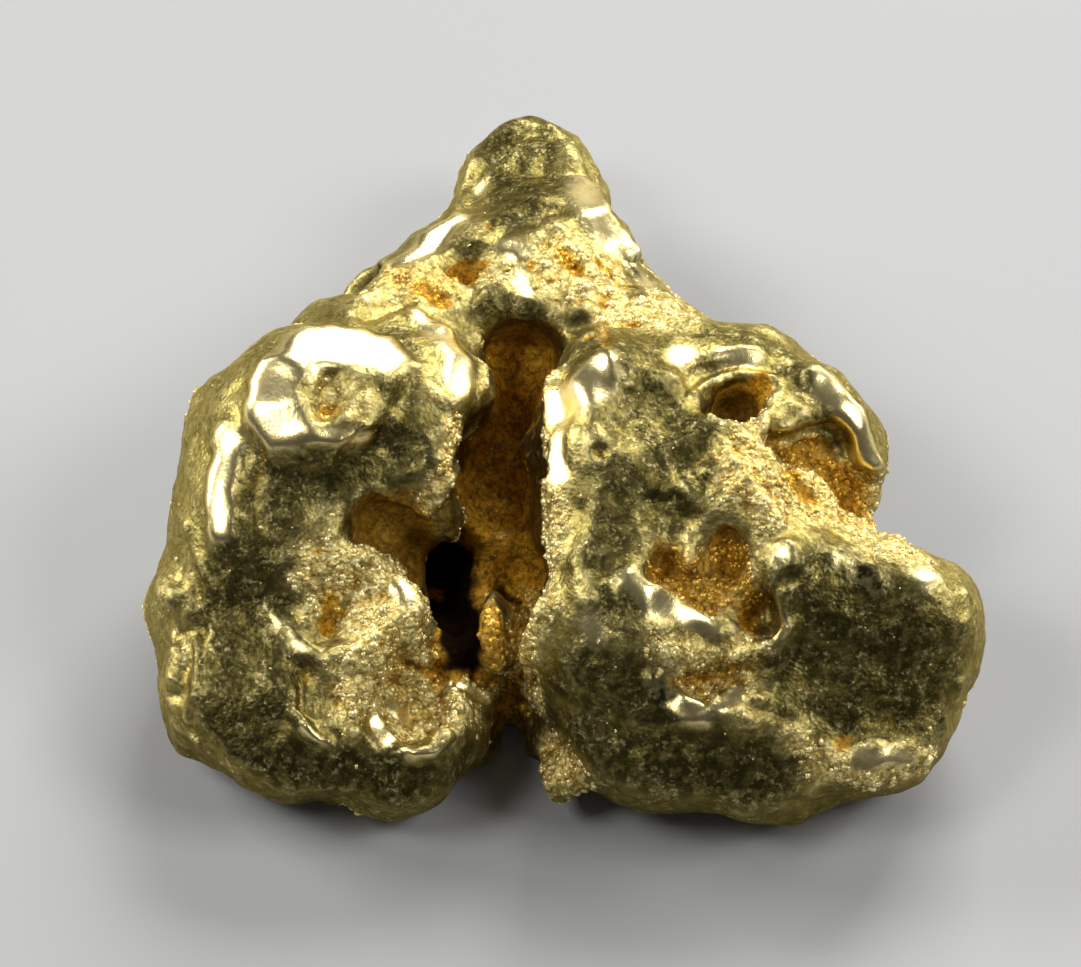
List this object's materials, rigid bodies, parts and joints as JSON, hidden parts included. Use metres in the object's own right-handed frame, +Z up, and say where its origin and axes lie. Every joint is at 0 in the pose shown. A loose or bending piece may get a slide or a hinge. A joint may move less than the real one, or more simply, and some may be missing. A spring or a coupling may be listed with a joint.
{
  "type": "gold nugget",
  "caption": "Water-worn native gold nugget with rounded lobes, a deep cleft between them, pitted hollows and a blunt horn, lying on its broad side.",
  "frame": {"origin": "on the resting plane, under the middle of the bounding box", "axes": "+X across the lobes towards the side with the round bulb, +Y from the thick cleft front towards the horn, +Z up from the resting plane"},
  "size_m": [0.01, 0.0098, 0.0038],
  "materials": {
    "native_gold": "worn satin native gold, polished on the high places, grainy and stained orange-brown in the hollows"
  },
  "bodies": {
    "root": {"nugget": "native_gold"}
  },
  "joints": []
}
